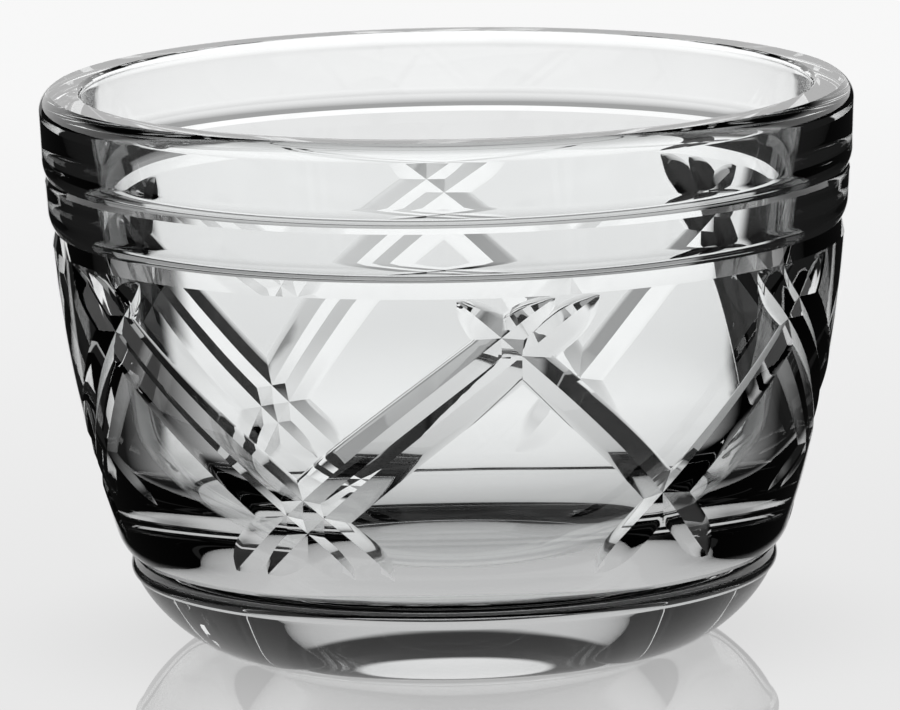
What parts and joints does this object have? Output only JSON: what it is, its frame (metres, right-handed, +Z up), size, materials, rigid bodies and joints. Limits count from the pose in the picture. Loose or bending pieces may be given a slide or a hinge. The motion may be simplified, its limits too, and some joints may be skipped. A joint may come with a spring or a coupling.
{
  "type": "nut bowl",
  "caption": "Small thick clear glass bowl with two plain bands under the rim, a lattice of straight V cuts round the body and a heavy rounded foot.",
  "frame": {"origin": "centre of the flat ring that the bowl rests on, at the table", "axes": "+Z up along the bowl's axis; -Y is the side that faces the viewer in the picture"},
  "size_m": [0.13, 0.13, 0.089],
  "materials": {
    "glass": "clear, polished"
  },
  "bodies": {
    "root": {"bowl": "glass"}
  },
  "joints": []
}
